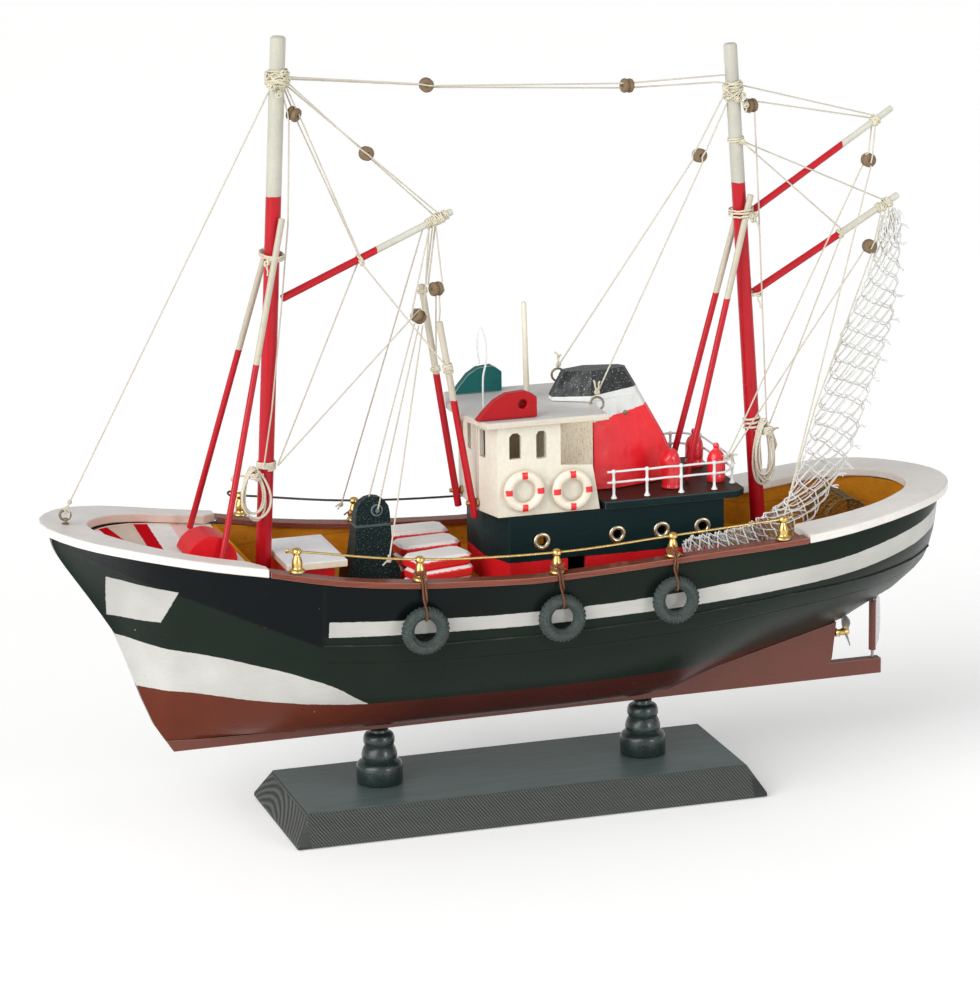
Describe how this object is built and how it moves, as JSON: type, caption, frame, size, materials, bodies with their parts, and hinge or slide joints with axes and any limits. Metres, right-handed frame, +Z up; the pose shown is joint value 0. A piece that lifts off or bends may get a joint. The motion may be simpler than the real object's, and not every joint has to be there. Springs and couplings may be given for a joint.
{
  "type": "wooden display model of a fishing trawler",
  "caption": "Painted wooden display model of a fishing trawler with masts, rigging, wheelhouse and hung net, turning propeller and rudder, standing on a plinth with turned pillars.",
  "frame": {"origin": "centre of the plinth's underside, which is also the middle of the hull's length and its centre plane", "axes": "+X towards the bow, +Y to port, +Z up along the height"},
  "size_m": [0.41, 0.1216, 0.3439],
  "materials": {
    "stand_black": "black stained wood, satin",
    "hull_black": "black-green painted wood, satin",
    "keel_brown": "red-brown painted wood, satin",
    "deck_ochre": "ochre painted wood, matt",
    "white_paint": "white painted wood, satin",
    "rail_brown": "red-brown painted wood, satin",
    "red_paint": "red painted wood, satin",
    "green_paint": "green painted wood, satin",
    "house_black": "black-green painted wood, satin",
    "brass": "turned brass",
    "grey_metal": "grey metal",
    "white_wire": "white painted wire",
    "rubber": "matt grey-black rubber",
    "cord": "off-white twisted cotton",
    "trap_mesh": "stiff open mesh, plain solid here"
  },
  "bodies": {
    "trawler": {"plinth": "stand_black", "pillar_fore": "stand_black", "pillar_aft": "stand_black", "hull": "hull_black", "keel": "keel_brown", "main_deck": "deck_ochre", "foredeck": "white_paint", "cap_rail_bow": "white_paint", "cap_rail_stern": "white_paint", "cap_rail_port": "rail_brown", "cap_rail_starboard": "rail_brown", "stern_tube": "brass", "foremast": "red_paint", "aft_mast": "red_paint", "fore_leg_port": "red_paint", "fore_leg_starboard": "red_paint", "aft_leg_port": "red_paint", "aft_leg_starboard": "red_paint", "fore_boom": "red_paint", "aft_boom_upper": "red_paint", "aft_boom_lower": "red_paint", "derrick_port": "red_paint", "derrick_starboard": "red_paint", "lower_house": "house_black", "upper_deck": "house_black", "wheelhouse": "white_paint", "wheelhouse_roof": "white_paint", "funnel": "red_paint", "light_board_port": "red_paint", "light_board_starboard": "green_paint", "roof_pole": "white_paint", "handrail": "white_wire", "gas_bottle_port": "red_paint", "gas_bottle_starboard": "red_paint", "vent_port": "red_paint", "vent_starboard": "red_paint", "deck_hatch": "red_paint", "winch": "house_black", "companion": "red_paint", "fish_boxes_port": "red_paint", "fish_boxes_middle": "red_paint", "fish_boxes_starboard": "red_paint", "life_ring_port_fore": "white_paint", "life_ring_port_aft": "white_paint", "life_ring_starboard_fore": "white_paint", "life_ring_starboard_aft": "white_paint", "side_rail_port": "brass", "side_rail_starboard": "brass", "tyre_port_1": "rubber", "tyre_port_2": "rubber", "tyre_port_3": "rubber", "tyre_starboard_1": "rubber", "tyre_starboard_2": "rubber", "tyre_starboard_3": "rubber", "forestay": "cord", "masthead_stay": "cord", "net": "cord", "wire_trap": "trap_mesh"},
    "screw": {"propeller": "grey_metal"},
    "helm": {"rudder": "keel_brown"}
  },
  "joints": [
    {"name": "propeller_spin", "type": "hinge", "parent": "trawler", "child": "screw", "pos_m": [-0.15901, 0, 0.06008], "axis": [1, 0, 0], "continuous": true},
    {"name": "rudder_turn", "type": "hinge", "parent": "trawler", "child": "helm", "pos_m": [-0.17229, 0, 0.05032], "axis": [0, 0, 1], "range_deg": [-130, 10]}
  ]
}
